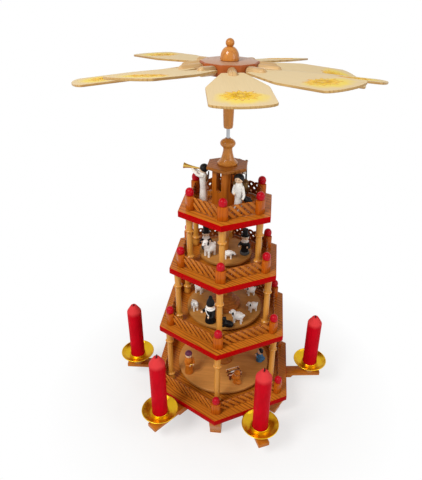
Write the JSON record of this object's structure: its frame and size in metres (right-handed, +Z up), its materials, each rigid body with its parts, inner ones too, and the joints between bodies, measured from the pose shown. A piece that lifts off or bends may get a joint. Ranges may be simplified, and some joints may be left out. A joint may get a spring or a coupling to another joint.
{
  "type": "christmas pyramid",
  "caption": "Wooden Christmas pyramid with stacked hexagonal tiers, fenced floors with painted figures, candle arms round the base and a bladed wheel that turns the centre shaft",
  "frame": {"origin": "On the axis of the turning shaft, at the level that the six feet stand on", "axes": "+Z up along the shaft; the corner of every hexagonal plate that faces the viewer points along -Y; +X to the viewer's right"},
  "size_m": [0.2713, 0.2731, 0.4126],
  "materials": {
    "honey_wood": "varnished honey-brown turned wood, glossy",
    "red_edged_plate": "varnished wood plate with its rim painted red",
    "brown_wood": "stained reddish-brown wood, satin",
    "tan_board": "thin tan board, satin",
    "pale_blade": "thin pale wood, waxed, with a gold-yellow ornament",
    "steel": "drawn steel, bright",
    "brass": "pressed brass sheet, polished",
    "red_wax": "deep red candle wax, satin",
    "white_paint": "turned wood painted white",
    "black_paint": "turned wood painted black",
    "orange_paint": "turned wood painted orange"
  },
  "bodies": {
    "stand": {"base_plate": "red_edged_plate", "foot_1": "honey_wood", "foot_2": "honey_wood", "foot_3": "honey_wood", "foot_4": "honey_wood", "foot_5": "honey_wood", "foot_6": "honey_wood", "tier_plate_2": "red_edged_plate", "tier_plate_3": "red_edged_plate", "tier_plate_4": "red_edged_plate", "balustrade_1": "honey_wood", "balustrade_2": "honey_wood", "balustrade_3": "honey_wood", "balustrade_4": "honey_wood", "lantern": "honey_wood", "lantern_roof": "honey_wood", "pivot_cup": "steel", "angel_1": "white_paint", "angel_2": "white_paint", "angel_3": "white_paint"},
    "rotor": {"centre_shaft": "honey_wood", "top_rod": "steel", "wheel_hub": "brown_wood", "finial": "honey_wood", "figure_disc_1": "tan_board", "figure_disc_2": "tan_board", "figure_disc_3": "tan_board", "top_hat_man_1": "black_paint", "top_hat_man_2": "black_paint", "shepherd": "black_paint", "king": "orange_paint", "manger": "brown_wood"},
    "wheel_blade_1": {"blade_1": "pale_blade"},
    "wheel_blade_2": {"blade_2": "pale_blade"},
    "wheel_blade_3": {"blade_3": "pale_blade"},
    "wheel_blade_4": {"blade_4": "pale_blade"},
    "wheel_blade_5": {"blade_5": "pale_blade"},
    "wheel_blade_6": {"blade_6": "pale_blade"},
    "wheel_blade_7": {"blade_7": "pale_blade"},
    "wheel_blade_8": {"blade_8": "pale_blade"},
    "wheel_blade_9": {"blade_9": "pale_blade"},
    "wheel_blade_10": {"blade_10": "pale_blade"},
    "arm_1": {"candle_arm_1": "honey_wood", "drip_dish_1": "brass", "candle_1": "red_wax"},
    "arm_2": {"candle_arm_2": "honey_wood", "drip_dish_2": "brass", "candle_2": "red_wax"},
    "arm_3": {"candle_arm_3": "honey_wood", "drip_dish_3": "brass", "candle_3": "red_wax"},
    "arm_4": {"candle_arm_4": "honey_wood", "drip_dish_4": "brass", "candle_4": "red_wax"},
    "arm_5": {"candle_arm_5": "honey_wood", "drip_dish_5": "brass", "candle_5": "red_wax"},
    "arm_6": {"candle_arm_6": "honey_wood", "drip_dish_6": "brass", "candle_6": "red_wax"}
  },
  "joints": [
    {"name": "rotor_spin", "type": "hinge", "parent": "stand", "child": "rotor", "pos_m": [0, 0, 0.03], "axis": [0, 0, 1], "continuous": true},
    {"name": "blade_1_pitch", "type": "hinge", "parent": "rotor", "child": "wheel_blade_1", "pos_m": [0.00437, -0.02642, 0.38875], "axis": [0.1633, -0.9864, -0.0209], "range_deg": [-46.4, 43.6]},
    {"name": "blade_2_pitch", "type": "hinge", "parent": "rotor", "child": "wheel_blade_2", "pos_m": [0.01877, -0.0191, 0.38875], "axis": [0.7001, -0.7125, 0.0471], "range_deg": [-46.9, 43.1]},
    {"name": "blade_3_pitch", "type": "hinge", "parent": "rotor", "child": "wheel_blade_3", "pos_m": [0.02637, -0.00465, 0.38875], "axis": [0.9841, -0.1735, -0.0384], "range_deg": [-37.5, 52.5]},
    {"name": "blade_4_pitch", "type": "hinge", "parent": "rotor", "child": "wheel_blade_4", "pos_m": [0.02456, 0.01068, 0.38875], "axis": [0.9058, 0.3938, -0.1564], "range_deg": [-55, 35]},
    {"name": "blade_5_pitch", "type": "hinge", "parent": "rotor", "child": "wheel_blade_5", "pos_m": [0.01132, 0.02427, 0.38875], "axis": [0.4207, 0.9023, -0.0941], "range_deg": [-39.9, 50.1]},
    {"name": "blade_6_pitch", "type": "hinge", "parent": "rotor", "child": "wheel_blade_6", "pos_m": [-0.00419, 0.02645, 0.38875], "axis": [-0.1549, 0.9781, -0.1392], "range_deg": [-45, 45]},
    {"name": "blade_7_pitch", "type": "hinge", "parent": "rotor", "child": "wheel_blade_7", "pos_m": [-0.01894, 0.01894, 0.38875], "axis": [-0.706, 0.706, -0.0558], "range_deg": [-45.9, 44.1]},
    {"name": "blade_8_pitch", "type": "hinge", "parent": "rotor", "child": "wheel_blade_8", "pos_m": [-0.02619, 0.00557, 0.38875], "axis": [-0.9588, 0.2038, -0.1977], "range_deg": [-50.3, 39.7]},
    {"name": "blade_9_pitch", "type": "hinge", "parent": "rotor", "child": "wheel_blade_9", "pos_m": [-0.02465, -0.01046, 0.38875], "axis": [-0.9173, -0.3894, -0.0837], "range_deg": [-49.8, 40.2]},
    {"name": "blade_10_pitch", "type": "hinge", "parent": "rotor", "child": "wheel_blade_10", "pos_m": [-0.01232, -0.02377, 0.38875], "axis": [-0.4584, -0.8844, 0.0872], "range_deg": [-50, 40]},
    {"name": "arm_1_swivel", "type": "hinge", "parent": "stand", "child": "arm_1", "pos_m": [0.02599, -0.04501, 0.0238], "axis": [0, 0, 1], "range_deg": [-20, 30]},
    {"name": "arm_2_swivel", "type": "hinge", "parent": "stand", "child": "arm_2", "pos_m": [0.05197, 0, 0.0238], "axis": [0, 0, 1], "range_deg": [-33, 17]},
    {"name": "arm_3_swivel", "type": "hinge", "parent": "stand", "child": "arm_3", "pos_m": [0.02599, 0.04501, 0.0238], "axis": [0, 0, 1], "range_deg": [-29, 21]},
    {"name": "arm_4_swivel", "type": "hinge", "parent": "stand", "child": "arm_4", "pos_m": [-0.02599, 0.04501, 0.0238], "axis": [0, 0, 1], "range_deg": [-19, 31]},
    {"name": "arm_5_swivel", "type": "hinge", "parent": "stand", "child": "arm_5", "pos_m": [-0.05197, 0, 0.0238], "axis": [0, 0, 1], "range_deg": [-28, 22]},
    {"name": "arm_6_swivel", "type": "hinge", "parent": "stand", "child": "arm_6", "pos_m": [-0.02599, -0.04501, 0.0238], "axis": [0, 0, 1], "range_deg": [-17, 33]}
  ]
}
